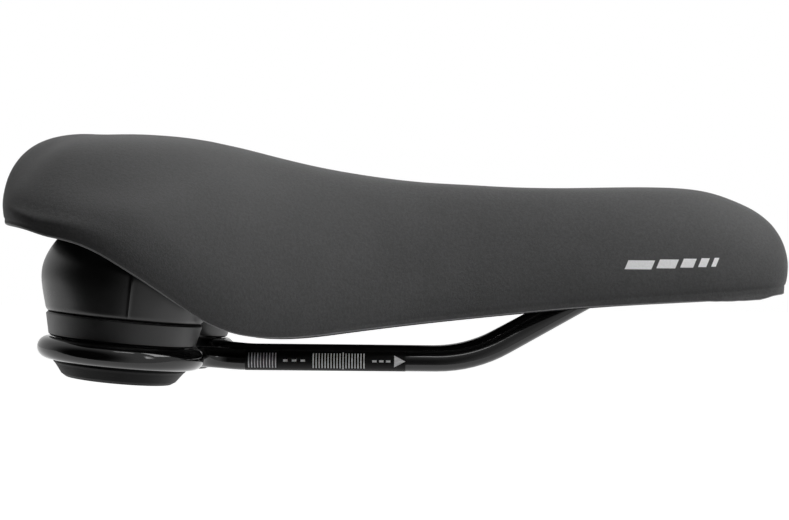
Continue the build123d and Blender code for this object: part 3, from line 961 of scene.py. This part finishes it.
def merged_piece(name, patches, material):
    """One piece from several separate patches."""
    points, faces = [], []
    for patch_points, patch_faces in patches:
        base = len(points)
        points += patch_points
        faces += [tuple(base + v for v in face) for face in patch_faces]
    return new_piece(name, points, faces, MATERIALS[material], smooth=False)


def build_rail_label(side_name):
    """Black film on the outer side of a rail, under its printed scale."""
    angles = np.linspace(*LABEL_ANGLES, LABEL_STEPS_ROUND + 1)
    xs = np.linspace(*LABEL_X, LABEL_STEPS_ALONG + 1)
    rows = [[(x, angle) for x in xs] for angle in angles]
    patch = wrapped_patch(rows, SIDES[side_name], LABEL_LIFT)
    label = merged_piece(f"rail_label_{side_name}", [patch], "label_film")
    mark_sharp(label, 40)
    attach(label, "rails")


def build_rail_scale(side_name):
    """Printed ruler on a rail: two groups of graduations, dashes between them, and an end arrow."""
    patches = []

    def shape(left, right, half_height, steps=9):
        """A patch between two edges that are functions of the height."""
        rows = []
        for k in range(steps):
            height = half_height * (2 * k / (steps - 1) - 1)
            angle = math.asin(height / ROD_R)
            rows.append([(left, angle), (right(height), angle)])
        patches.append(wrapped_patch(rows, SIDES[side_name], SCALE_LIFT))

    def arrow_end(height):
        return ARROW_X + ARROW_LENGTH * (ARROW_TIP_SHARE - abs(height) / ARROW_HALF_HEIGHT)

    for first, count in TICK_GROUPS:
        for k in range(count):
            x = first + k * TICK_PITCH
            half_height = TICK_HALF_HEIGHT * (LONG_TICK_SHARE if k == LONG_TICK else 1)
            shape(x - TICK_WIDTH / 2, lambda height, x=x: x + TICK_WIDTH / 2, half_height)
    for x in DASHES_X:
        shape(x - DASH_HALF_LENGTH, lambda height, x=x: x + DASH_HALF_LENGTH, DASH_HALF_HEIGHT, 3)
    shape(ARROW_X, arrow_end, ARROW_HALF_HEIGHT)
    scale = merged_piece(f"rail_scale_{side_name}", patches, "white_print")
    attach(scale, "rails")


def slanted_bar(tree, side, start_x, width):
    """One bar of the nose mark, laid on the skin."""
    last = BAR_STEPS - 1
    points = []
    for lift in (NOSE_MARK_LIFT, NOSE_MARK_LIFT + NOSE_MARK_T):
        for r in range(BAR_STEPS):
            up = BAR_HEIGHT * r / last
            z = NOSE_MARK_Z + (start_x - NOSE_MARK_X) * NOSE_MARK_RISE + up
            for c in range(BAR_STEPS):
                x = start_x + BAR_LEAN * up + width * c / last
                hit, normal, _, _ = tree.ray_cast(Vector((x, side * RAY_SIDE, z)), Vector((0, -side, 0)))
                points.append(hit + normal * lift)
    return points, thin_faces(BAR_STEPS, BAR_STEPS, side == 1)


def build_nose_mark(side_name, cover):
    """A generic mark on the nose: a row of slanted bars that shorten towards the front."""
    data = cover.data
    tree = BVHTree.FromPolygons([v.co for v in data.vertices], [face.vertices for face in data.polygons])
    patches = []
    x = NOSE_MARK_X
    for width in BAR_WIDTHS:
        patches.append(slanted_bar(tree, SIDES[side_name], x, width))
        x += width + BAR_GAP
    mark = merged_piece(f"nose_mark_{side_name}", patches, "white_print")
    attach(mark, "saddle")


# ---------------------------------------------------------------- stage

CAMERA_DISTANCE = 0.520
CAMERA_PLACE = Vector((0.0186, -CAMERA_DISTANCE, 0.0276))
VIEW_WIDTH = 0.277817  # seen at the saddle's centre plane
SENSOR_WIDTH = 36.0
PITCH = math.radians(0.7371)
ROLL = math.radians(0.54)

FLOOR_DROP = 0.14
FLOOR_FRONT, FLOOR_BACK, FLOOR_HALF_WIDTH = -0.20, 8.0, 6.0
FLOOR_GLOW = 0.05  # in diffuse light; the camera and reflections see it white
DARK_TOWARDS = Vector((-0.62, -0.78, -0.05)).normalized()  # the unlit side of the studio
DARK_CORE, DARK_EDGE = 0.90, 0.30  # cosines from that direction
SURROUND_DARK, SURROUND_PALE = 0.02, 0.75
SURROUND_DIFFUSE = 0.06  # share of the surroundings' light that matt surfaces get

# name: (place, aim, width, height, spread in degrees, power in watts)
LIGHTS = {
    "key": ((0.12, -0.50, 0.68), (0.02, 0.0, 0.04), 0.30, 0.08, 180, 0.4),
    "overhead": ((0.10, 0.10, 0.80), (0.02, 0.0, 0.05), 0.90, 0.60, 180, 1.2),
    "overhead_back": ((0.0, 0.55, 0.65), (0.02, 0.0, 0.05), 0.60, 0.40, 180, 0.9),
    "nose_side": ((0.50, -0.14, 0.52), (0.08, 0.0, 0.04), 0.40, 0.40, 180, 2.8),
    "front_right": ((0.38, -0.38, 0.16), (0.06, 0.0, 0.03), 0.16, 0.20, 36, 0.038),
}


def build_camera():
    """Camera square to the saddle's right side, as in the photograph."""
    data = bpy.data.cameras.new("camera")
    data.sensor_width = SENSOR_WIDTH
    data.lens = SENSOR_WIDTH * CAMERA_DISTANCE / VIEW_WIDTH
    data.clip_start, data.clip_end = 0.01, 50
    camera = bpy.data.objects.new("camera", data)
    bpy.context.scene.collection.objects.link(camera)
    camera.matrix_world = (
        Matrix.Translation(CAMERA_PLACE)
        @ Matrix.Rotation(math.pi / 2 + PITCH, 4, "X")
        @ Matrix.Rotation(ROLL, 4, "Z")
    )
    bpy.context.scene.camera = camera


def softbox(name, place, target, width, height, spread, power):
    """An area light at a place, aimed at a target."""
    data = bpy.data.lights.new(name, "AREA")
    data.shape = "RECTANGLE"
    data.size, data.size_y = width, height
    data.spread = math.radians(spread)
    data.energy = power
    light = bpy.data.objects.new(name, data)
    bpy.context.scene.collection.objects.link(light)
    light.location = place
    light.rotation_euler = (Vector(target) - Vector(place)).to_track_quat("-Z", "Y").to_euler()


def seen_white(tree, otherwise):
    """A number that is 1 for the camera and for reflections and lower for diffuse light; its light path."""
    path = tree.nodes.new("ShaderNodeLightPath")
    white = tree.nodes.new("ShaderNodeMath")
    white.operation = "MAXIMUM"
    tree.links.new(path.outputs["Is Camera Ray"], white.inputs[0])
    tree.links.new(path.outputs["Is Glossy Ray"], white.inputs[1])
    level = tree.nodes.new("ShaderNodeMapRange")
    level.inputs["To Min"].default_value = otherwise
    tree.links.new(white.outputs["Value"], level.inputs["Value"])
    return level.outputs["Result"], path


def build_floor():
    """Pale floor, well below the saddle. It ends before the camera, where the studio is dark."""
    m = Nodes("pale_floor")
    m.set(Base_Color=m.mix(m.noise(4, 2), grey(0.55), grey(0.60)), Roughness=0.8, Specular_IOR_Level=0.0)
    m.set(Emission_Color=(1, 1, 1, 1), Emission_Strength=seen_white(m.tree, FLOOR_GLOW)[0])
    level = cad_box[0].z - FLOOR_DROP
    across = (-FLOOR_HALF_WIDTH, FLOOR_HALF_WIDTH)
    corners = [(x, FLOOR_FRONT, level) for x in across] + [(x, FLOOR_BACK, level) for x in reversed(across)]
    floor = new_piece("floor", corners, [(0, 1, 2, 3)], m.material, smooth=False)


def build_surroundings():
    """White backdrop for the camera. For the light on the saddle it is dark on the camera's side."""
    world = bpy.data.worlds.new("surroundings")
    bpy.context.scene.world = world
    world.use_nodes = True
    tree = world.node_tree

    def add(kind):
        return tree.nodes.new(kind)

    seen, lit = tree.nodes["Background"], add("ShaderNodeBackground")
    seen.inputs["Color"].default_value = (1, 1, 1, 1)
    lit.inputs["Color"].default_value = (1, 1, 1, 1)
    place, facing = add("ShaderNodeTexCoord"), add("ShaderNodeVectorMath")
    facing.operation = "DOT_PRODUCT"
    facing.inputs[1].default_value = DARK_TOWARDS
    tree.links.new(place.outputs["Generated"], facing.inputs[0])
    fade = add("ShaderNodeMapRange")
    fade.interpolation_type = "SMOOTHSTEP"
    limits = (DARK_EDGE, DARK_CORE, SURROUND_PALE, SURROUND_DARK)
    for key, number in zip(RANGE_INPUTS, limits):
        fade.inputs[key].default_value = number
    tree.links.new(facing.outputs["Value"], fade.inputs["Value"])
    share, path = seen_white(tree, SURROUND_DIFFUSE)
    strength = add("ShaderNodeMath")
    strength.operation = "MULTIPLY"
    tree.links.new(fade.outputs["Result"], strength.inputs[0])
    tree.links.new(share, strength.inputs[1])
    tree.links.new(strength.outputs["Value"], lit.inputs["Strength"])
    choose = add("ShaderNodeMixShader")
    tree.links.new(path.outputs["Is Camera Ray"], choose.inputs[0])
    tree.links.new(lit.outputs[0], choose.inputs[1])
    tree.links.new(seen.outputs[0], choose.inputs[2])
    tree.links.new(choose.outputs[0], tree.nodes["World Output"].inputs["Surface"])


def build_stage():
    build_floor()
    build_surroundings()
    for name, values in LIGHTS.items():
        softbox(name, *values)
    bpy.context.scene.view_settings.view_transform = "Standard"


# ---------------------------------------------------------------- everything


def main():
    paint_cad_nodes()
    base = sample_top()
    cover = build_cover(base)
    build_foam(base)
    skin = skin_inside(base)
    for side in SIDES:
        build_gel(side, skin)
        build_spring(side)
        build_rail_label(side)
        build_rail_scale(side)
        build_nose_mark(side, cover)
    build_stage()
    build_camera()


main()
